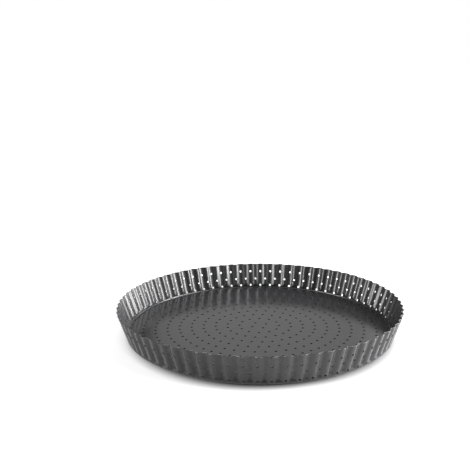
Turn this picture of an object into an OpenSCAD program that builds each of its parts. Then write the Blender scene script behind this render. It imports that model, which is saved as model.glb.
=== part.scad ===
// Perforated fluted tart pan with a loose base, in millimetres.
// The pan stands on z = 0 and its axis is Z. The base lies free on the ring's inward flange.

/* [Pan] */
// Diameter over the flutes at the rim
rim_d = 282; // [220:1:330]
// Height from the table to the cut rim
pan_h = 27.6; // [24:0.2:36]
// Lean of the wall from upright, in degrees
draft = 18.5; // [12:0.5:25]
// Thickness of the sheet that the ring is pressed from
sheet = 0.8; // [0.6:0.05:1]

/* [Flutes] */
// Number of flutes round the wall
flutes = 72; // [60:1:80]
// Depth of a flute, from lobe to groove
flute_depth = 2; // [1.2:0.1:2.6]
// Width of the flat groove between two lobes, at the foot
groove_w = 1.8; // [1.6:0.1:3]
// Height in which the grooves run out into the smooth foot
fade_h = 2.4; // [1.6:0.1:4]

/* [Foot] */
// Height of the smooth foot under the flutes
foot_h = 1.9; // [1.7:0.1:3]
// Outer radius of the bend between flange and wall
bend_r = 1.6; // [1.3:0.1:2.2]
// Width of the flange that carries the base, from the outside of the foot
flange_w = 10.7; // [8:0.1:13]

/* [Loose base] */
// Thickness of the base
base_t = 0.8; // [0.6:0.05:1.5]
// Play between the edge of the base and the inside of the foot
base_gap = 3.3; // [0.5:0.1:4]
// Turn of the base in the ring, in degrees
base_turn = 30; // [0:1:90]

/* [Perforation] */
// Diameter of the holes in the base
base_hole_d = 2.4; // [1:0.1:4]
// Radius of the innermost ring of holes
first_ring_r = 8; // [6:0.5:12]
// Step from one ring of holes to the next
ring_step = 12; // [9:0.5:20]
// Holes in the innermost ring
first_ring_holes = 4; // [3:1:6]
// Holes that each ring has more than the one inside it
more_holes = 8; // [4:1:9]
// Plain strip of the base between its outermost holes and the flange beneath
hole_clear = 3; // [1:0.5:8]
// Diameter of the holes in the lobes
lobe_hole_d = 2.4; // [1:0.1:2.4]
// Diameter of the holes in the grooves
groove_hole_d = 2; // [1:0.1:2.4]
// Rows of holes in the wall
wall_rows = 3; // [1:1:3]
// Height of the lowest row
first_row_z = 3.1; // [3:0.1:5]
// Step from one row to the next
row_step = 7.8; // [4:0.1:9]

/* [Hidden] */

coating = [0.27, 0.27, 0.28];
hole_fn = 24;
turn_fn = 180;
// How far the lobes reach down into the foot, and how far they lie under its face
lap = 0.4;
tuck = 0.05;
// Height that is trimmed off above the rim
trim_h = 4;
// Length of a drill, in thicknesses of the sheet that it goes through
drill_sheets = 6;
// Size of a cutter past what it cuts
reach = 12;

rim_r = rim_d / 2;
foot_top_r = lobe_r(foot_h);
full_z = foot_h + fade_h;
level_sheet = sheet / cos(draft);
bend_top_z = bend_r * (1 - sin(draft));
bend_x = lobe_r(bend_top_z) - bend_r * cos(draft);
flange_r = foot_top_r - flange_w;
base_r = foot_top_r - level_sheet - base_gap;
hole_field_r = flange_r - base_hole_d / 2 - hole_clear;
base_rings = floor((hole_field_r - first_ring_r) / ring_step) + 1;

// A lobe is an arc over its chord: its radius follows from the chord and the depth
pitch_angle = 360 / flutes;
chord = 2 * (foot_top_r - flute_depth) * sin(pitch_angle / 2) - groove_w;
deep = flute_depth * cos(draft);
curve_r = (chord * chord / 4 + deep * deep) / (2 * deep);

// Radius of the outer face along a lobe at height z
function lobe_r(z) = rim_r - (pan_h - z) * tan(draft);

// Section of the solid whose face lies t inside the sheet's outer face, without the lobes
module turned_section(t) {
    top_z = pan_h + trim_h;
    in = t / cos(draft);
    round_r = bend_r - t;
    tangent = [bend_x + round_r * cos(draft), bend_r - round_r * sin(draft)];
    foot = [foot_top_r + tuck - in, foot_h];
    full = [lobe_r(full_z) - flute_depth - in, full_z];
    top = [lobe_r(top_z) - flute_depth - in, top_z];
    polygon([[0, t], [bend_x, t], tangent, foot, full, top, [0, top_z]]);
    translate([bend_x, bend_r])
        intersection() {
            circle(round_r);
            polygon([[0, 0], [0, -reach], [reach, -reach], [reach, -reach * tan(draft)]]);
        }
}

// One lobe, leaning with the wall, with its face t inside the sheet's outer face
module lobe(t) {
    low_z = foot_h - lap;
    length = (pan_h + trim_h - low_z) / cos(draft);
    chord_x = curve_r - deep - t - sheet / 2;
    translate([lobe_r(low_z), 0, low_z])
        rotate([0, draft, 0])
            translate([-curve_r, 0, 0])
                linear_extrude(length)
                    intersection() {
                        circle(curve_r - t);
                        translate([chord_x, -curve_r])
                            square(2 * curve_r);
                    }
}

// The pan as a solid block whose face lies t inside the sheet's outer face
module block(t) {
    rotate_extrude($fn = turn_fn)
        turned_section(t, $fn = turn_fn);
    for (f = [0 : flutes - 1])
        rotate(f * pitch_angle)
            lobe(t, $fn = turn_fn);
}

// Holes through the wall, on the lobes and, in every second row, in the grooves
module wall_drills() {
    for (row = [0 : wall_rows - 1]) {
        in_groove = row % 2;
        z = first_row_z + row * row_step;
        r = lobe_r(z) - in_groove * flute_depth;
        hole_d = in_groove == 1 ? groove_hole_d : lobe_hole_d;
        for (f = [0 : flutes - 1])
            rotate((f + in_groove / 2) * pitch_angle)
                translate([r, 0, z])
                    rotate([0, 90 + draft, 0])
                        cylinder(d = hole_d, h = drill_sheets * sheet, center = true, $fn = hole_fn);
    }
}

module fluted_ring() {
    color(coating)
        difference() {
            block(0);
            block(sheet);
            translate([0, 0, pan_h])
                cylinder(r = rim_r + reach, h = reach, $fn = turn_fn);
            cylinder(r = flange_r, h = reach, center = true, $fn = turn_fn);
            wall_drills();
        }
}

// Rings of holes through the base, all with a hole on the same four spokes
module base_drills() {
    for (ring = [0 : base_rings - 1]) {
        holes = first_ring_holes + ring * more_holes;
        for (i = [0 : holes - 1])
            rotate(i * 360 / holes)
                translate([first_ring_r + ring * ring_step, 0, 0])
                    cylinder(d = base_hole_d, h = drill_sheets * base_t, center = true, $fn = hole_fn);
    }
}

module loose_base() {
    color(coating)
        translate([0, 0, sheet])
            rotate(base_turn)
                difference() {
                    rotate_extrude($fn = turn_fn) {
                        square([base_r - base_t / 2, base_t]);
                        translate([base_r - base_t / 2, base_t / 2])
                            circle(d = base_t, $fn = hole_fn);
                    }
                    base_drills();
                }
}

fluted_ring();
loose_base();
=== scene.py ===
"""Looks of a perforated fluted tart pan with a loose base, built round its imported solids."""

import logging
import math
from dataclasses import dataclass, field
from enum import Enum
from typing import Any, Iterable, Sequence

import bpy
import numpy as np
from mathutils import Matrix, Vector


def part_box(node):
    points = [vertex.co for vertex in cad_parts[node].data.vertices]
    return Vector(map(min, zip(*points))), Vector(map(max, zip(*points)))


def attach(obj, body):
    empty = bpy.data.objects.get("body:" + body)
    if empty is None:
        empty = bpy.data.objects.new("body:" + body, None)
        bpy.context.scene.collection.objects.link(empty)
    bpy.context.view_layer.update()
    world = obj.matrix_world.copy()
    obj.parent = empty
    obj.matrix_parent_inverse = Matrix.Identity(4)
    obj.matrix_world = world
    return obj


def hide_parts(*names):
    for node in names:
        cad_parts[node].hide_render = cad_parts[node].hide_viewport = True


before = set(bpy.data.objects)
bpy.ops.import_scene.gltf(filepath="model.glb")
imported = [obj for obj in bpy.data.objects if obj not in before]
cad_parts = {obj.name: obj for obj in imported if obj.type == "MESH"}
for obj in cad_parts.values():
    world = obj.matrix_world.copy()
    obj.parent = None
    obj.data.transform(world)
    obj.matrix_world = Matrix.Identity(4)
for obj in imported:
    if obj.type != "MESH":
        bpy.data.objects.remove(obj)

MM = 0.001
# Angle of the photo's front round the pan's axis, in degrees
FRONT_TURN = 0.6
# Angle over which an edge of the pan stays sharp
SHARP_ANGLE = math.radians(32)
WHITE = (1.0, 1.0, 1.0, 1.0)
LOG = logging.getLogger("tart_pan")


class Place(Enum):
    """Where a row of wall holes lies on the flutes, in pitches from a crest."""

    LOBE = 0.0
    GROOVE = 0.5


@dataclass
class NodeSheet:
    """A node tree with short calls that add nodes, set values and make links."""

    tree: bpy.types.NodeTree

    @classmethod
    def of_material(cls, name: str) -> tuple[bpy.types.Material, "NodeSheet"]:
        """Makes an empty material.

        Args:
            name: the material's name.

        Returns:
            The material and the sheet for its nodes.
        """
        made = bpy.data.materials.new(name)
        made.use_nodes = True
        made.node_tree.nodes.clear()
        return made, cls(made.node_tree)

    @classmethod
    def of_geometry(cls, name: str, inputs: dict[str, str]) -> tuple["NodeSheet", Any]:
        """Makes a tree of geometry nodes that takes a mesh and gives one.

        Args:
            name: the tree's name.
            inputs: the kind of each further input, by its name.

        Returns:
            The sheet for its nodes and the outputs of its Group Input node.
        """
        tree = bpy.data.node_groups.new(name, "GeometryNodeTree")
        for title, kind in {"Geometry": "Geometry", **inputs}.items():
            tree.interface.new_socket(title, in_out="INPUT", socket_type=f"NodeSocket{kind}")
        tree.interface.new_socket("Geometry", in_out="OUTPUT", socket_type="NodeSocketGeometry")
        sheet = cls(tree)
        return sheet, sheet.add("NodeGroupInput").outputs

    def add(self, kind: str, inputs: dict[Any, Any] | None = None, **settings: Any) -> bpy.types.Node:
        """Adds a node.

        Args:
            kind: Blender's type name of the node.
            inputs: values or output sockets for its inputs, by their name or number.
            settings: attributes of the node itself.

        Returns:
            The new node.
        """
        node = self.tree.nodes.new(kind)
        for name, value in settings.items():
            setattr(node, name, value)
        for name, value in (inputs or {}).items():
            self.put(node.inputs[name], value)
        return node

    def put(self, socket: bpy.types.NodeSocket, value: Any) -> None:
        """Links an output socket to an input, or sets the input's own value."""
        if isinstance(value, bpy.types.NodeSocket):
            self.tree.links.new(value, socket)
        else:
            socket.default_value = value

    def math(self, operation: str, *values: Any) -> bpy.types.NodeSocket:
        """Adds a Math node.

        Args:
            operation: the node's operation.
            values: numbers or sockets, in the order of its inputs.

        Returns:
            The result's socket.
        """
        node = self.add("ShaderNodeMath", operation=operation)
        for socket, value in zip(node.inputs, values):
            self.put(socket, value)
        return node.outputs[0]

    def part(self, vector: bpy.types.NodeSocket, axis: str) -> bpy.types.NodeSocket:
        """Takes one part, X, Y or Z, of a vector."""
        return self.add("ShaderNodeSeparateXYZ", {"Vector": vector}).outputs[axis]

    def tint(self, colour: Sequence[float], shade: bpy.types.NodeSocket) -> bpy.types.NodeSocket:
        """Multiplies a plain colour by a shade that varies."""
        values = {0: colour, "Scale": shade}
        return self.add("ShaderNodeVectorMath", values, operation="SCALE").outputs[0]


@dataclass(frozen=True)
class SheetSizes:
    """Sizes of the pan, in metres, as the source of the solids names them."""

    rim_r: float
    height: float
    draft: float = math.radians(18.5)
    sheet: float = 0.8 * MM
    flutes: int = 72
    flute_depth: float = 2.0 * MM
    groove_w: float = 1.8 * MM
    fade_h: float = 2.4 * MM
    foot_h: float = 1.9 * MM
    bend_r: float = 1.6 * MM
    flange_w: float = 10.7 * MM

    @property
    def pitch(self) -> float:
        """Angle from one flute to the next."""
        return 2 * math.pi / self.flutes

    @property
    def foot_top_r(self) -> float:
        """Outer radius at the top of the smooth foot."""
        return self.lobe_r(self.foot_h)

    @property
    def bend_top_z(self) -> float:
        """Height at which the bend meets the straight wall."""
        return self.bend_r * (1 - math.sin(self.draft))

    @property
    def bend_x(self) -> float:
        """Radius of the bend's centre."""
        return self.lobe_r(self.bend_top_z) - self.bend_r * math.cos(self.draft)

    @property
    def bend_length(self) -> float:
        """Length of the bend along its outer face."""
        return self.bend_r * (math.pi / 2 - self.draft)

    @property
    def flange_r(self) -> float:
        """Inner radius of the flange."""
        return self.foot_top_r - self.flange_w

    @property
    def curve_r(self) -> float:
        """Radius of a lobe's arc."""
        chord = 2 * (self.foot_top_r - self.flute_depth) * math.sin(self.pitch / 2) - self.groove_w
        deep = self.flute_depth * math.cos(self.draft)
        return (chord * chord / 4 + deep * deep) / (2 * deep)

    def lobe_r(self, z: Any) -> Any:
        """Radius of the outer face along a lobe's crest at a height."""
        return self.rim_r - (self.height - z) * math.tan(self.draft)

    def station(self, z: float) -> float:
        """Length along the wall's slope from the top of the bend to a height."""
        return (z - self.bend_top_z) / math.cos(self.draft)


@dataclass(frozen=True)
class HoleRow:
    """One row of holes round the wall."""

    z: float
    place: Place
    hole_r: float


@dataclass
class FluteSheet:
    """One flute of the pressed wall, with its holes, foot, bend and flange, as an open strip.

    Points are named by their angle round the axis, their length along the section and their
    depth in the sheet.
    """

    sizes: SheetSizes
    # Broken edges of the holes and of the rim, and how softly lobes run into grooves
    burr: float = 0.08 * MM
    rim_burr: float = 0.2 * MM
    soft: float = 0.9 * MM
    least_soft: float = 0.02 * MM
    # Columns of faces over a pitch, faces along each side of a hole's block, and the other faces
    columns: int = 16
    block: int = 4
    bend_faces: int = 4
    top_faces: int = 3
    tallest: float = 2.2 * MM
    top_strip: float = 0.5 * MM
    # Angles and lengths that differ by less than these are one
    same_angle: float = 1e-7
    same_length: float = 1e-8
    points: list[tuple[float, float, float]] = field(default_factory=list)
    faces: list[tuple[int, ...]] = field(default_factory=list)
    cuts: list[float] = field(default_factory=list)
    known: dict[tuple[int, int, int], int] = field(default_factory=dict)

    def radius(self, angle: np.ndarray, z: np.ndarray) -> np.ndarray:
        """Outer radius of the wall.

        Args:
            angle: angles round the axis, with a crest at zero.
            z: heights, at or above the top of the bend.

        Returns:
            The radii, with the lobes run softly into the grooves.
        """
        s = self.sizes
        turn = (angle + s.pitch / 2) % s.pitch - s.pitch / 2
        lean = math.cos(s.draft)
        centre = s.lobe_r(z) - s.curve_r / lean
        a = (lean * np.cos(turn)) ** 2 + np.sin(turn) ** 2
        b = lean * lean * centre * np.cos(turn)
        c = (lean * centre) ** 2 - s.curve_r**2
        lobe = (b + np.sqrt(np.maximum(b * b - a * c, 0.0))) / a
        sunk = np.clip((z - s.foot_h) / s.fade_h, 0.0, 1.0)
        groove = s.lobe_r(z) - sunk * s.flute_depth
        ease = sunk * self.soft + self.least_soft
        gap = np.maximum(ease - np.abs(lobe - groove), 0.0) / ease
        return np.maximum(lobe, groove) + gap * gap * ease / 4

    def face_points(self, angle: np.ndarray, length: np.ndarray) -> np.ndarray:
        """Points of the sheet's outer face.

        Args:
            angle: angles round the axis.
            length: lengths along the section from the top of the bend, negative on bend and flange.

        Returns:
            An array of points.
        """
        s = self.sizes
        bend = np.clip((length + s.bend_length) / s.bend_r, 0.0, None)
        flat = np.minimum(length + s.bend_length, 0.0)
        wall_z = s.bend_top_z + length * math.cos(s.draft)
        z = np.where(length > 0, wall_z, s.bend_r * (1 - np.cos(bend)))
        wall = self.radius(angle, np.maximum(z, s.bend_top_z))
        r = np.where(length > 0, wall, s.bend_x + s.bend_r * np.sin(bend) + flat)
        return np.stack((r * np.cos(angle), r * np.sin(angle), z), axis=-1)

    def place(self) -> np.ndarray:
        """Works out where all the named points are.

        Returns:
            Their positions, with the rim cut level.
        """
        s = self.sizes
        angle, length, depth = np.array(self.points).T
        step = 1e-6
        near = 1e-7
        p = self.face_points(angle, length)
        aside = step / s.rim_r
        across = self.face_points(angle + aside, length) - self.face_points(angle - aside, length)
        up = self.face_points(angle, length + step) - self.face_points(angle, length - step)
        normal = np.cross(across, up)
        normal /= np.linalg.norm(normal, axis=1, keepdims=True)
        p = p - normal * depth[:, None]
        cut = s.station(s.height) - self.rim_burr
        rim = length + depth * math.tan(s.draft) > cut - near
        outermost = (depth < near) | (depth > s.sheet - near)
        level = s.height - np.where(outermost, self.rim_burr, 0.0)
        p[rim, 2] = level[rim]
        return p

    def point(self, angle: float, length: float, depth: float) -> int:
        """Names a point, or finds the one that is already there.

        Args:
            angle: angle round the axis.
            length: length along the section.
            depth: depth under the outer face.

        Returns:
            The point's number.
        """
        key = (
            round(angle / self.same_angle),
            round(length / self.same_length),
            round(depth / self.same_length),
        )
        if key not in self.known:
            self.known[key] = len(self.points)
            self.points.append((angle, length, depth))
        return self.known[key]

    def quad(self, corners: Sequence[int], inside: bool, cut: bool = False) -> None:
        """Adds a face, turned over where it looks into the pan, and notes whether it is cut."""
        self.faces.append(tuple(reversed(corners)) if inside else tuple(corners))
        self.cuts.append(float(cut))

    def grid_angle(self, column: int) -> float:
        """Angle of a column: the strip starts a quarter pitch before the crest."""
        return (column / self.columns - 0.25) * self.sizes.pitch

    def stations(self, rows: Iterable[HoleRow]) -> tuple[list[float], dict[int, HoleRow]]:
        """Lays out the rows of faces along the section.

        Args:
            rows: the rows of holes, from the foot up.

        Returns:
            The lengths at which the faces meet, and each hole row by the number of its first one.
        """
        s = self.sizes
        cell = s.pitch / self.columns * s.foot_top_r
        half = self.block / 2 * cell
        flange = [-s.bend_length - s.bend_x + s.flange_r, -s.bend_length - s.flange_w / 2]
        bend = list(np.linspace(-s.bend_length, 0.0, self.bend_faces + 1))
        lengths = flange + bend + [s.station(s.foot_h) / 2]
        firsts: dict[int, HoleRow] = {}
        for row in rows:
            middle = s.station(row.z)
            gap = middle - half - lengths[-1]
            extra = max(int(gap / self.tallest), 0)
            lengths += list(np.linspace(lengths[-1], middle - half, extra + 2))[1:]
            firsts[len(lengths) - 1] = row
            lengths += [middle - half + cell * k for k in range(1, self.block + 1)]
        top = s.station(s.height) - self.top_strip
        lengths += list(np.linspace(lengths[-1], top, self.top_faces + 1))[1:]
        return lengths, firsts

    def holed_block(self, column: int, lengths: Sequence[float], row: HoleRow, first: int) -> None:
        """Fills one block of the grid with a punched hole.

        Args:
            column: the block's first column.
            lengths: the grid's lengths along the section.
            row: the row that the hole belongs to.
            first: the block's first length.
        """
        s = self.sizes
        n = self.block
        steps = [(n, k) for k in range(n // 2, n)] + [(n - k, n) for k in range(n)]
        steps += [(0, n - k) for k in range(n)] + [(k, 0) for k in range(n)]
        steps += [(n, k) for k in range(n // 2)]
        count = len(steps)
        middle_angle = self.grid_angle(column + n // 2)
        middle = s.station(row.z)
        here = float(self.radius(np.array([middle_angle]), np.array([row.z]))[0])

        def circle(r: float, depth: float) -> list[int]:
            """Names the points of one ring of the hole."""
            turns = [2 * math.pi * k / count for k in range(count)]
            spots = [(middle_angle + r * math.cos(t) / here, middle + r * math.sin(t)) for t in turns]
            return [self.point(angle, length, depth) for angle, length in spots]

        def square(depth: float) -> list[int]:
            """Names the points of the block's outline."""
            return [self.point(self.grid_angle(column + i), lengths[first + j], depth) for i, j in steps]

        loops = [
            square(0.0),
            circle(row.hole_r + self.burr, 0.0),
            circle(row.hole_r, self.burr),
            circle(row.hole_r, s.sheet - self.burr),
            circle(row.hole_r + self.burr, s.sheet),
            square(s.sheet),
        ]
        last = len(loops) - 2
        for number, (outer, inner) in enumerate(zip(loops, loops[1:])):
            for k in range(count):
                after = (k + 1) % count
                self.quad((outer[k], outer[after], inner[after], inner[k]), False, 0 < number < last)

    def build(self, rows: Sequence[HoleRow]) -> bpy.types.Object:
        """Builds the strip.

        Args:
            rows: the rows of holes.

        Returns:
            The strip's object, open where the next flute joins it.
        """
        lengths, firsts = self.stations(rows)
        skipped: set[tuple[int, int]] = set()
        for first, row in firsts.items():
            column = int(self.columns * (0.25 + row.place.value)) - self.block // 2
            skipped |= {(column + i, first + j) for i in range(self.block) for j in range(self.block)}
            self.holed_block(column, lengths, row, first)
        for depth in (0.0, self.sizes.sheet):
            for i in range(self.columns):
                for j in range(len(lengths) - 1):
                    if (i, j) not in skipped:
                        a, b = self.grid_angle(i), self.grid_angle(i + 1)
                        low, high = lengths[j], lengths[j + 1]
                        corners = [self.point(a, low, depth), self.point(b, low, depth)]
                        corners += [self.point(b, high, depth), self.point(a, high, depth)]
                        self.quad(corners, depth > 0)
        self.close_edges(lengths)
        strip = plain_piece("flute_strip", self.place().tolist(), self.faces)
        mark_cut(strip, self.cuts)
        return strip

    def close_edges(self, lengths: Sequence[float]) -> None:
        """Closes the sheet at the cut rim and at the flange's inner edge."""
        s = self.sizes
        lean = math.tan(s.draft)
        top = s.station(s.height)
        sheet = (0.0, s.sheet)

        def over_rim(angle: float) -> list[int]:
            """Names the points over the rim, from the outer face to the inner one."""
            outer, inner = (self.point(angle, top - d * lean - self.rim_burr, d) for d in sheet)
            raised = (self.rim_burr, s.sheet - self.rim_burr)
            edge = [self.point(angle, top - d * lean, d) for d in raised]
            below = [self.point(angle, lengths[-1], d) for d in sheet]
            return [below[0], outer, *edge, inner, below[1]]

        for i in range(self.columns):
            a, b = self.grid_angle(i), self.grid_angle(i + 1)
            flange = [self.point(a, lengths[0], s.sheet), self.point(b, lengths[0], s.sheet)]
            flange += [self.point(b, lengths[0], 0.0), self.point(a, lengths[0], 0.0)]
            self.quad(flange, False)
            left, right = over_rim(a), over_rim(b)
            middle = len(left) // 2 - 1
            for k in range(len(left) - 1):
                self.quad((left[k], right[k], right[k + 1], left[k + 1]), False, k == middle)


@dataclass
class FlutedRing:
    """The pressed ring: the wall with its flutes and holes, the foot and the flange."""

    sizes: SheetSizes
    rows: tuple[HoleRow, ...] = (
        HoleRow(3.1 * MM, Place.LOBE, 1.2 * MM),
        HoleRow(10.9 * MM, Place.GROOVE, 1.0 * MM),
        HoleRow(18.7 * MM, Place.LOBE, 1.2 * MM),
    )
    weld: float = 0.01 * MM

    def array_tree(self) -> bpy.types.NodeTree:
        """Makes the geometry nodes that set one flute round the axis.

        Returns:
            The tree, with inputs for flutes, weld distance, edge angle and coating.
        """
        inputs = {
            "Flutes": "Int",
            "Weld Distance": "Float",
            "Edge Angle": "Float",
            "Coating": "Material",
        }
        sheet, given = NodeSheet.of_geometry("flutes_round_axis", inputs)
        places = sheet.add("GeometryNodePoints", {"Count": given["Flutes"]}).outputs[0]
        index = sheet.add("GeometryNodeInputIndex").outputs[0]
        turn = sheet.math("DIVIDE", sheet.math("MULTIPLY", index, 2 * math.pi), given["Flutes"])
        spin = sheet.add("ShaderNodeCombineXYZ", {"Z": turn}).outputs[0]
        values = {"Points": places, "Instance": given["Geometry"], "Rotation": spin}
        set_out = sheet.add("GeometryNodeInstanceOnPoints", values).outputs[0]
        real = sheet.add("GeometryNodeRealizeInstances", {"Geometry": set_out}).outputs[0]
        values = {"Geometry": real, "Distance": given["Weld Distance"]}
        welded = sheet.add("GeometryNodeMergeByDistance", values).outputs[0]
        finish_faces(sheet, welded, given)
        return sheet.tree

    def build(self, coating: bpy.types.Material) -> bpy.types.Object:
        """Builds the ring and puts it in place of its solid.

        Args:
            coating: the ring's material.

        Returns:
            The finished object.
        """
        strip = FluteSheet(self.sizes).build(self.rows)
        values = {
            "Flutes": self.sizes.flutes,
            "Weld Distance": self.weld,
            "Edge Angle": SHARP_ANGLE,
            "Coating": coating,
        }
        ring = run_nodes(strip, self.array_tree(), values, "pressed_ring")
        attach(ring, "root")
        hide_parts("fluted_ring")
        return ring


@dataclass
class LooseBase:
    """The round perforated base that lies on the ring's flange."""

    radius: float
    low_z: float
    high_z: float
    rings: int = 10
    first_ring_holes: int = 4
    first_ring_r: float = 8.0 * MM
    ring_step: float = 12.0 * MM
    turn: float = math.radians(30)
    # A hole, its broken edges, and how far the punch reaches past both faces
    hole_r: float = 1.2 * MM
    burr: float = 0.1 * MM
    punch_past: float = 0.5 * MM
    punch_steps: int = 24
    # Faces over the rolled edge, faces round it, and the flat strip beside it
    edge_faces: int = 6
    round_faces: int = 180
    edge_strip: float = 0.6 * MM

    def blank(self) -> bpy.types.Object:
        """Turns the plain round blank with its rolled edge.

        Returns:
            The blank's object.
        """
        half = (self.high_z - self.low_z) / 2
        flat_r = self.radius - half
        turns = np.linspace(-math.pi / 2, math.pi / 2, self.edge_faces + 1)
        edge = [(flat_r + half * math.cos(t), self.low_z + half + half * math.sin(t)) for t in turns]
        inner_r = flat_r - self.edge_strip
        profile = [(inner_r, self.low_z), *edge, (inner_r, self.high_z)]
        return turned_piece("base_blank", profile, self.round_faces)

    def punch(self) -> bpy.types.Object:
        """Turns the punch, whose shoulders break the edges of a hole on both sides.

        Returns:
            The punch's object.
        """
        wide = self.hole_r + self.burr + self.punch_past
        profile = [
            (wide, self.low_z - self.punch_past),
            (self.hole_r, self.low_z + self.burr),
            (self.hole_r, self.high_z - self.burr),
            (wide, self.high_z + self.punch_past),
        ]
        return turned_piece("hole_punch", profile, self.punch_steps, cut=True)

    def punch_tree(self) -> bpy.types.NodeTree:
        """Makes the geometry nodes that punch the rings of holes.

        The first ring has h holes and each further one 2h more, so n rings have h * n * n holes
        and the root of a hole's number, divided by h, gives its ring.

        Returns:
            The tree, with inputs for the punch, the rings, the turn, the edge angle and the coating.
        """
        inputs = {
            "Punch": "Object",
            "Rings": "Int",
            "First Ring Holes": "Int",
            "First Radius": "Float",
            "Ring Step": "Float",
            "Turn": "Float",
            "Edge Angle": "Float",
            "Coating": "Material",
        }
        sheet, given = NodeSheet.of_geometry("punched_rings", inputs)
        first = given["First Ring Holes"]
        count = sheet.math("MULTIPLY", sheet.math("MULTIPLY", given["Rings"], given["Rings"]), first)
        places = sheet.add("GeometryNodePoints", {"Count": count}).outputs[0]
        index = sheet.add("GeometryNodeInputIndex").outputs[0]
        root = sheet.math("SQRT", sheet.math("DIVIDE", sheet.math("ADD", index, 0.5), first))
        ring = sheet.math("FLOOR", root)
        before = sheet.math("MULTIPLY", sheet.math("MULTIPLY", ring, ring), first)
        holes = sheet.math("MULTIPLY", sheet.math("MULTIPLY_ADD", ring, 2.0, 1.0), first)
        share = sheet.math("DIVIDE", sheet.math("SUBTRACT", index, before), holes)
        angle = sheet.math("ADD", sheet.math("MULTIPLY", share, 2 * math.pi), given["Turn"])
        radius = sheet.math("MULTIPLY", ring, given["Ring Step"])
        radius = sheet.math("ADD", radius, given["First Radius"])
        x = sheet.math("MULTIPLY", radius, sheet.math("COSINE", angle))
        y = sheet.math("MULTIPLY", radius, sheet.math("SINE", angle))
        spot = sheet.add("ShaderNodeCombineXYZ", {"X": x, "Y": y}).outputs[0]
        values = {"Geometry": places, "Position": spot}
        set_out = sheet.add("GeometryNodeSetPosition", values).outputs[0]
        punch = sheet.add("GeometryNodeObjectInfo", {"Object": given["Punch"]}).outputs["Geometry"]
        values = {"Points": set_out, "Instance": punch}
        punches = sheet.add("GeometryNodeInstanceOnPoints", values).outputs[0]
        cutters = sheet.add("GeometryNodeRealizeInstances", {"Geometry": punches}).outputs[0]
        cut = sheet.add("GeometryNodeMeshBoolean", operation="DIFFERENCE", solver="EXACT")
        sheet.put(cut.inputs["Mesh 1"], given["Geometry"])
        sheet.put(cut.inputs["Mesh 2"], cutters)
        values = {"Geometry": cut.outputs["Mesh"]}
        finish_faces(sheet, sheet.add("GeometryNodeRealizeInstances", values).outputs[0], given)
        return sheet.tree

    def build(self, coating: bpy.types.Material) -> bpy.types.Object:
        """Builds the base and puts it in place of its solid.

        Args:
            coating: the base's material.

        Returns:
            The finished object.
        """
        punch = self.punch()
        values = {
            "Punch": punch,
            "Rings": self.rings,
            "First Ring Holes": self.first_ring_holes,
            "First Radius": self.first_ring_r,
            "Ring Step": self.ring_step,
            "Turn": self.turn,
            "Edge Angle": SHARP_ANGLE,
            "Coating": coating,
        }
        base = run_nodes(self.blank(), self.punch_tree(), values, "punched_base")
        discard(punch)
        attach(base, "root")
        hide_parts("loose_base")
        return base


def finish_faces(sheet: NodeSheet, geometry: bpy.types.NodeSocket, given: Any) -> None:
    """Adds the nodes that smooth the faces, keep the sharp edges, set the coating and end a tree.

    Args:
        sheet: the tree that is being laid out.
        geometry: the mesh so far.
        given: the tree's inputs, with one for the edge angle and one for the coating.
    """
    smooth = sheet.add("GeometryNodeSetShadeSmooth", {"Geometry": geometry}).outputs[0]
    edge = sheet.add("GeometryNodeInputMeshEdgeAngle").outputs["Unsigned Angle"]
    sharp = sheet.add("FunctionNodeCompare", operation="GREATER_THAN", data_type="FLOAT")
    sheet.put(sharp.inputs["A"], edge)
    sheet.put(sharp.inputs["B"], given["Edge Angle"])
    values = {"Geometry": smooth, "Selection": sharp.outputs[0], "Shade Smooth": False}
    edged = sheet.add("GeometryNodeSetShadeSmooth", values, domain="EDGE")
    values = {"Geometry": edged.outputs[0], "Material": given["Coating"]}
    dressed = sheet.add("GeometryNodeSetMaterial", values).outputs[0]
    sheet.add("NodeGroupOutput", {"Geometry": dressed})


def run_nodes(
    source: bpy.types.Object, tree: bpy.types.NodeTree, values: dict[str, Any], name: str
) -> bpy.types.Object:
    """Runs a tree on an object and keeps the result as a plain mesh.

    Args:
        source: the object whose mesh goes in; it is used up.
        tree: the geometry nodes.
        values: a value for each named input.
        name: the new object's name.

    Returns:
        The object with the finished mesh and no modifier.
    """
    modifier = source.modifiers.new("build", "NODES")
    modifier.node_group = tree
    for item in tree.interface.items_tree:
        if item.in_out == "INPUT" and item.name in values:
            modifier[item.identifier] = values[item.name]
    depsgraph = bpy.context.evaluated_depsgraph_get()
    mesh = bpy.data.meshes.new_from_object(source.evaluated_get(depsgraph))
    source.modifiers.remove(modifier)
    discard(source)
    mesh.name = name
    return placed(name, mesh)


def placed(name: str, data: Any) -> bpy.types.Object:
    """Makes an object of a mesh, a light or a camera and puts it in the scene."""
    made = bpy.data.objects.new(name, data)
    bpy.context.scene.collection.objects.link(made)
    return made


def plain_piece(
    name: str, points: Sequence[Sequence[float]], faces: Sequence[Sequence[int]]
) -> bpy.types.Object:
    """Makes an object with a mesh of its own.

    Args:
        name: the name of the object and of its mesh.
        points: the mesh's points.
        faces: its faces, as numbers of points.

    Returns:
        The new object.
    """
    mesh = bpy.data.meshes.new(name)
    mesh.from_pydata(points, [], faces)
    return placed(name, mesh)


def mark_cut(piece: bpy.types.Object, cuts: Sequence[float]) -> None:
    """Writes the faces' attribute that says where the sheet is cut, its coating dull and its colour
    painted darker.
    """
    piece.data.attributes.new("cut", "FLOAT", "FACE").data.foreach_set("value", cuts)


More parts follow.
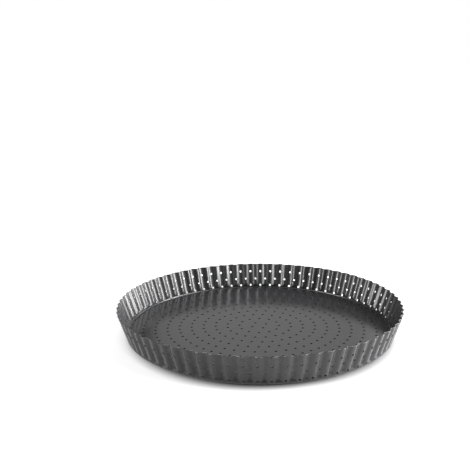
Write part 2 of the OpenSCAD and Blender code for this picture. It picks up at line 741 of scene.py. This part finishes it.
def turned_piece(
    name: str, profile: Sequence[tuple[float, float]], steps: int, cut: bool = False
) -> bpy.types.Object:
    """Turns a section round Z into a closed piece with flat ends.

    Args:
        name: the object's name.
        profile: radius and height of each point, from the lower end to the upper one.
        steps: number of steps round the axis.
        cut: whether its faces are marked as cut.

    Returns:
        The new object.
    """
    turns = [2 * math.pi * k / steps for k in range(steps)]
    points = [(r * math.cos(t), r * math.sin(t), z) for r, z in profile for t in turns]
    faces: list[tuple[int, ...]] = [tuple(reversed(range(steps)))]
    for row in range(len(profile) - 1):
        for k in range(steps):
            a, b = row * steps + k, row * steps + (k + 1) % steps
            faces.append((a, b, b + steps, a + steps))
    faces.append(tuple(range(len(points) - steps, len(points))))
    piece = plain_piece(name, points, faces)
    mark_cut(piece, [float(cut)] * len(faces))
    return piece


def discard(piece: bpy.types.Object) -> None:
    """Removes a helper object and its mesh."""
    mesh = piece.data
    bpy.data.objects.remove(piece)
    bpy.data.meshes.remove(mesh)


@dataclass(frozen=True)
class CoatedSteel:
    """Semi-gloss dark grey non-stick coating, sprayed and baked on steel sheet."""

    name: str
    colour: tuple[float, float, float] = (0.036, 0.036, 0.038)
    roughness: float = 0.22
    # Specular level, how much the grain changes it, and the share of it that dull places lose
    level: float = 0.5
    grain: float = 0.5
    dulled: float = 0.9
    # Sizes of the sprayed grain, of the cloudy shade and of the rim's painted glint patches, and the
    # grain's height
    speckle_mm: float = 0.5
    cloud_mm: float = 14.0
    glint_patch_mm: float = 4.0
    bump_mm: float = 0.012
    # Shade without grain and cloud, and what they add to it and to the roughness
    plain_shade: float = 0.79
    speckle_shade: float = 0.3
    cloud_shade: float = 0.12
    rough_change: float = 0.08
    # Share of the shade that cut faces lose as painted shade, and what painted rim glints and painted
    # light on groove ends add
    cut_painted_shade: float = 0.5
    glint_gain: float = 9.0
    end_painted_light: float = 1.3

    def material(self, foot_z: float | None = None, rim_z: float | None = None) -> bpy.types.Material:
        """Makes the material.

        Args:
            foot_z: height under which the outer groove ends are dulled and given painted light, where
                there are any.
            rim_z: height above which the cut rim gets painted glints in patches, where there is one.

        Returns:
            The material.
        """
        made, sheet = NodeSheet.of_material(self.name)
        where = sheet.add("ShaderNodeTexCoord").outputs
        speckle = self.noise(sheet, where, self.speckle_mm)
        cloud = self.noise(sheet, where, self.cloud_mm)
        cut = sheet.add("ShaderNodeAttribute", attribute_name="cut").outputs["Fac"]
        dull = cut
        shade = sheet.math("MULTIPLY_ADD", speckle, self.speckle_shade, self.plain_shade)
        shade = sheet.math("MULTIPLY_ADD", cloud, self.cloud_shade, shade)
        # Cut faces are painted darker: painted shade on the hole walls, and a darker cut top on the rim.
        shade = sheet.math("MULTIPLY", shade, sheet.math("MULTIPLY_ADD", cut, -self.cut_painted_shade, 1.0))
        if rim_z is not None:
            # Patches of the cut rim are painted bright and made glossy: painted glints.
            glints = self.rim_glint_patches(sheet, where, cut, rim_z)
            dull = sheet.math("SUBTRACT", dull, glints)
            shade = sheet.math("MULTIPLY_ADD", glints, self.glint_gain, shade)
        if foot_z is not None:
            # The groove ends lose their gloss and are painted lighter: painted light in place of the
            # reflections on the wall around them.
            ends = self.groove_ends(sheet, where, foot_z)
            dull = sheet.math("MAXIMUM", dull, ends)
            shade = sheet.math("MULTIPLY_ADD", ends, self.end_painted_light, shade)
        smoothest = self.roughness - self.rough_change / 2
        rough = sheet.math("MULTIPLY_ADD", cloud, self.rough_change, smoothest)
        rough = sheet.math("MULTIPLY_ADD", speckle, self.rough_change, rough)
        grain = sheet.math("MULTIPLY_ADD", speckle, self.grain, self.level - self.grain / 2)
        gloss = sheet.math("MULTIPLY", grain, sheet.math("MULTIPLY_ADD", dull, -self.dulled, 1.0))
        values = {"Height": speckle, "Distance": self.bump_mm * MM, "Strength": 1.0}
        values = {
            "Base Color": sheet.tint(self.colour, shade),
            "Roughness": rough,
            "IOR": 1.5,
            "Normal": sheet.add("ShaderNodeBump", values).outputs[0],
            "Specular IOR Level": gloss,
        }
        coat = sheet.add("ShaderNodeBsdfPrincipled", values)
        sheet.add("ShaderNodeOutputMaterial", {"Surface": coat.outputs[0]})
        return made

    def noise(self, sheet: NodeSheet, where: Any, size_mm: float) -> bpy.types.NodeSocket:
        """Adds a noise over the object whose grains have a size in millimetres."""
        values = {"Vector": where["Object"], "Scale": 1 / (size_mm * MM), "Detail": 2.0}
        return sheet.add("ShaderNodeTexNoise", values).outputs["Fac"]

    def rim_glint_patches(
        self, sheet: NodeSheet, where: Any, cut: bpy.types.NodeSocket, rim_z: float
    ) -> bpy.types.NodeSocket:
        """Finds the patches of the cut rim that are painted bright and glossy: painted glints.

        Args:
            sheet: the material's tree.
            where: the outputs of its Texture Coordinate node.
            cut: the socket that says where the sheet is cut.
            rim_z: height above which the rim lies.

        Returns:
            A socket that gives 1 on them and else 0.
        """
        patch = self.noise(sheet, where, self.glint_patch_mm)
        values = {"Value": patch, "From Min": 0.5, "From Max": 0.58}
        glints = sheet.math("MULTIPLY", cut, sheet.add("ShaderNodeMapRange", values).outputs[0])
        high = sheet.math("GREATER_THAN", sheet.part(where["Object"], "Z"), rim_z)
        return sheet.math("MULTIPLY", glints, high)

    def groove_ends(self, sheet: NodeSheet, where: Any, foot_z: float) -> bpy.types.NodeSocket:
        """Finds the short slopes at which the grooves end above the foot, on the outside.

        Args:
            sheet: the material's tree.
            where: the outputs of its Texture Coordinate node.
            foot_z: height under which they lie.

        Returns:
            A socket that gives 1 on them and else 0.
        """
        least_rise = 0.02
        values = {0: where["Object"], 1: (1.0, 1.0, 0.0)}
        flat = sheet.add("ShaderNodeVectorMath", values, operation="MULTIPLY").outputs[0]
        values = {0: flat, 1: where["Normal"]}
        out = sheet.add("ShaderNodeVectorMath", values, operation="DOT_PRODUCT").outputs["Value"]
        outside = sheet.math("GREATER_THAN", out, 0.0)
        upward = sheet.math("GREATER_THAN", sheet.part(where["Normal"], "Z"), least_rise)
        low = sheet.math("LESS_THAN", sheet.part(where["Object"], "Z"), foot_z)
        return sheet.math("MULTIPLY", sheet.math("MULTIPLY", outside, upward), low)


def from_front(place: Sequence[float]) -> Vector:
    """Turns a place that is named from the photo's front into the pan's own frame."""
    return Matrix.Rotation(math.radians(FRONT_TURN), 3, "Z") @ Vector(place)


@dataclass(frozen=True)
class PhotoCamera:
    """The camera at the photo's place and angle, for a square image."""

    eye: tuple[float, float, float] = (0.0006, -0.6303, 0.2396)
    yaw: float = -2.177
    pitch: float = -12.904
    roll: float = -0.602
    lens: float = 50.66

    def build(self) -> bpy.types.Object:
        """Makes the camera and makes it the scene's own.

        Returns:
            The camera.
        """
        yaw, pitch, roll = (math.radians(a) for a in (self.yaw, self.pitch, self.roll))
        level = math.cos(pitch)
        ahead = from_front((math.sin(yaw) * level, math.cos(yaw) * level, math.sin(pitch)))
        side = ahead.cross(Vector((0, 0, 1))).normalized()
        up = side.cross(ahead)
        right = math.cos(roll) * side + math.sin(roll) * up
        top = -math.sin(roll) * side + math.cos(roll) * up
        data = bpy.data.cameras.new("photo_camera")
        data.lens = self.lens
        data.sensor_width = 36.0
        data.clip_start = 0.01
        camera = placed("photo_camera", data)
        turn = Matrix((right, top, -ahead)).transposed().to_4x4()
        camera.matrix_world = Matrix.Translation(from_front(self.eye)) @ turn
        bpy.context.scene.camera = camera
        return camera


@dataclass(frozen=True)
class Softbox:
    """A square soft light that looks at the pan."""

    name: str
    place: tuple[float, float, float]
    power: float
    size: tuple[float, float] = (0.36, 0.4)
    aim: tuple[float, float, float] = (0.0, 0.0, 0.01)

    def build(self) -> bpy.types.Object:
        """Hangs the light.

        Returns:
            The light's object.
        """
        data = bpy.data.lights.new(self.name, "AREA")
        data.shape = "RECTANGLE"
        data.size, data.size_y = self.size
        data.energy = self.power
        light = placed(self.name, data)
        light.location = from_front(self.place)
        way = from_front(self.aim) - light.location
        light.rotation_euler = way.to_track_quat("-Z", "Y").to_euler()
        light.visible_camera = False
        return light


@dataclass(frozen=True)
class StudioCard:
    """A bent card that stands round the pan, which only the coating's gloss mirrors."""

    name: str
    start: int
    end: int
    glow: float
    radius: float = 1.19
    height: float = 0.9
    step: int = 15

    def build(self) -> bpy.types.Object:
        """Stands the card up.

        Returns:
            The card's object.
        """
        turns = [math.radians(a) for a in range(self.start, self.end + 1, self.step)]
        round_r = self.radius
        foot = [from_front((round_r * math.cos(t), round_r * math.sin(t), 0.0)) for t in turns]
        head = [corner + Vector((0, 0, self.height)) for corner in foot]
        n = len(turns)
        faces = [(k, k + 1, n + k + 1, n + k) for k in range(n - 1)]
        card = plain_piece(self.name, foot + head, faces)
        made, sheet = NodeSheet.of_material(self.name)
        face = sheet.add("ShaderNodeEmission", {"Color": WHITE, "Strength": self.glow})
        sheet.add("ShaderNodeOutputMaterial", {"Surface": face.outputs[0]})
        card.data.materials.append(made)
        card.visible_camera = False
        card.visible_diffuse = False
        card.visible_shadow = False
        card.visible_transmission = False
        return card


@dataclass(frozen=True)
class FloorFade:
    """A value that rises softly from 0 to 1 with the distance from a spot on the floor."""

    middle: tuple[float, float]
    low: float
    high: float

    def add(self, sheet: NodeSheet) -> bpy.types.NodeSocket:
        """Adds the fade's nodes.

        Args:
            sheet: the tree that is being laid out.

        Returns:
            The value's socket.
        """
        values = {0: sheet.add("ShaderNodeTexCoord").outputs["Object"], 1: (*self.middle, 0.0)}
        away = sheet.add("ShaderNodeVectorMath", values, operation="DISTANCE").outputs["Value"]
        values = {"Value": away, "From Min": self.low, "From Max": self.high}
        return sheet.add("ShaderNodeMapRange", values, interpolation_type="SMOOTHSTEP").outputs[0]


@dataclass
class Studio:
    """The plain pale studio: floor, surroundings, soft lights and cards."""

    floor_size: float = 6.0
    floor_colour: tuple[float, float, float] = (0.8, 0.8, 0.8)
    # Light from all round, and the floor's glow near the pan and in the coating's gloss
    ambient: float = 0.06
    floor_lift: float = 0.7
    floor_gloss: float = 0.57
    # Painted soft shade in the floor's colour under the pan, the lift's end at its shadow, and its rise
    # towards far floor
    painted_contact_shade: FloorFade = FloorFade((-3 * MM, -5 * MM), 122 * MM, 141 * MM)
    shadow_end: FloorFade = FloorFade((9 * MM, -10 * MM), 122 * MM, 144 * MM)
    far_floor: FloorFade = FloorFade((0.0, 0.0), 0.3, 1.2)
    lights: tuple[Softbox, ...] = (
        Softbox("right_softbox", (0.95, 0.07, 0.22), 12.5),
        Softbox("right_front_softbox", (0.90, -0.29, 0.22), 2.6),
        Softbox("right_back_softbox", (0.64, 0.71, 0.22), 4.0),
        Softbox("left_softbox", (-0.90, -0.29, 0.22), 6.6),
        Softbox("high_right_softbox", (1.0, 0.0, 0.9), 17.0, (0.8, 0.6)),
        Softbox("high_back_softbox", (0.0, 1.0, 1.0), 3.0, (0.9, 0.6)),
    )
    cards: tuple[StudioCard, ...] = (
        StudioCard("right_card", -15, 45, 0.0),
        StudioCard("right_back_card", 45, 75, 1.0),
        StudioCard("back_card", 75, 105, 0.6),
        StudioCard("back_gap_card", 105, 135, 0.0),
        StudioCard("left_back_card", 135, 165, 0.45),
        StudioCard("left_card", 165, 225, 1.1),
        StudioCard("left_front_card", 225, 255, 0.9),
        StudioCard("front_card", 255, 285, 0.0),
        StudioCard("right_front_card", 285, 345, 0.35),
    )

    def floor(self) -> bpy.types.Object:
        """Lays the floor.

        Returns:
            The floor's object.
        """
        half = self.floor_size / 2
        corners = [(-half, -half, 0), (half, -half, 0), (half, half, 0), (-half, half, 0)]
        floor = plain_piece("studio_floor", corners, [(0, 1, 2, 3)])
        floor.data.materials.append(self.floor_paint())
        return floor

    def floor_paint(self) -> bpy.types.Material:
        """Makes the floor white to the camera, with the pan's shadow and a painted soft shade under it.

        Returns:
            The floor's material.
        """
        made, sheet = NodeSheet.of_material("studio_white")
        made.cycles.emission_sampling = "NONE"
        path = sheet.add("ShaderNodeLightPath").outputs
        unseen = sheet.math("SUBTRACT", 1.0, path["Is Camera Ray"])
        # Painted shade: to the camera, the floor's colour is darker under and round the pan.
        shade = sheet.math("MAXIMUM", self.painted_contact_shade.add(sheet), unseen)
        paint = sheet.add("ShaderNodeBsdfDiffuse", {"Color": sheet.tint(self.floor_colour, shade)})
        far = self.far_floor.add(sheet)
        far = sheet.math("MULTIPLY_ADD", far, 1.0 - self.floor_lift, self.floor_lift)
        lift = sheet.math("MULTIPLY", self.shadow_end.add(sheet), far)
        straight = sheet.math("MAXIMUM", path["Is Camera Ray"], path["Is Transmission Ray"])
        mirrored = sheet.math("MULTIPLY", path["Is Glossy Ray"], self.floor_gloss)
        strength = sheet.math("MULTIPLY_ADD", straight, lift, mirrored)
        glow = sheet.add("ShaderNodeEmission", {"Color": WHITE, "Strength": strength})
        both = sheet.add("ShaderNodeAddShader", {0: paint.outputs[0], 1: glow.outputs[0]})
        sheet.add("ShaderNodeOutputMaterial", {"Surface": both.outputs[0]})
        return made

    def surroundings(self) -> None:
        """Makes the world: white to the camera and in reflections, dimmer as a light."""
        world = bpy.data.worlds.new("studio_air")
        world.use_nodes = True
        world.node_tree.nodes.clear()
        sheet = NodeSheet(world.node_tree)
        path = sheet.add("ShaderNodeLightPath").outputs
        seen = sheet.math("MAXIMUM", path["Is Camera Ray"], path["Is Transmission Ray"])
        seen = sheet.math("MAXIMUM", seen, path["Is Glossy Ray"])
        strength = sheet.math("MULTIPLY_ADD", seen, 1.0 - self.ambient, self.ambient)
        air = sheet.add("ShaderNodeBackground", {"Color": WHITE, "Strength": strength})
        sheet.add("ShaderNodeOutputWorld", {"Surface": air.outputs[0]})
        bpy.context.scene.world = world

    def build(self) -> None:
        """Sets up floor, surroundings, lights and cards."""
        self.floor()
        self.surroundings()
        for item in (*self.lights, *self.cards):
            item.build()


def report(piece: bpy.types.Object) -> None:
    """Says what a piece measures and how many faces it has."""
    size = [round(d / MM, 2) for d in piece.dimensions]
    LOG.info("%s: %s mm, %d faces", piece.name, size, len(piece.data.polygons))


def main() -> None:
    """Builds the pan's pieces, their looks, the studio and the camera."""
    logging.basicConfig(level=logging.INFO, format="%(name)s: %(message)s")
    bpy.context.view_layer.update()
    ring_low, ring_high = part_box("fluted_ring")
    base_low, base_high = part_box("loose_base")
    sizes = SheetSizes(rim_r=ring_high.x, height=ring_high.z - ring_low.z)
    groove_foot = sizes.foot_h + sizes.fade_h + 0.4 * MM
    rim_low = sizes.height - 0.5 * MM
    ring_coat = CoatedSteel("ring_coating").material(foot_z=groove_foot, rim_z=rim_low)
    base_coat = CoatedSteel("base_coating", roughness=0.13).material()
    report(FlutedRing(sizes).build(ring_coat))
    base = LooseBase(radius=base_high.x, low_z=base_low.z, high_z=base_high.z)
    report(base.build(base_coat))
    Studio().build()
    PhotoCamera().build()
    bpy.context.view_layer.update()
    bpy.context.scene.view_settings.view_transform = "Standard"


if __name__ == "__main__":
    main()
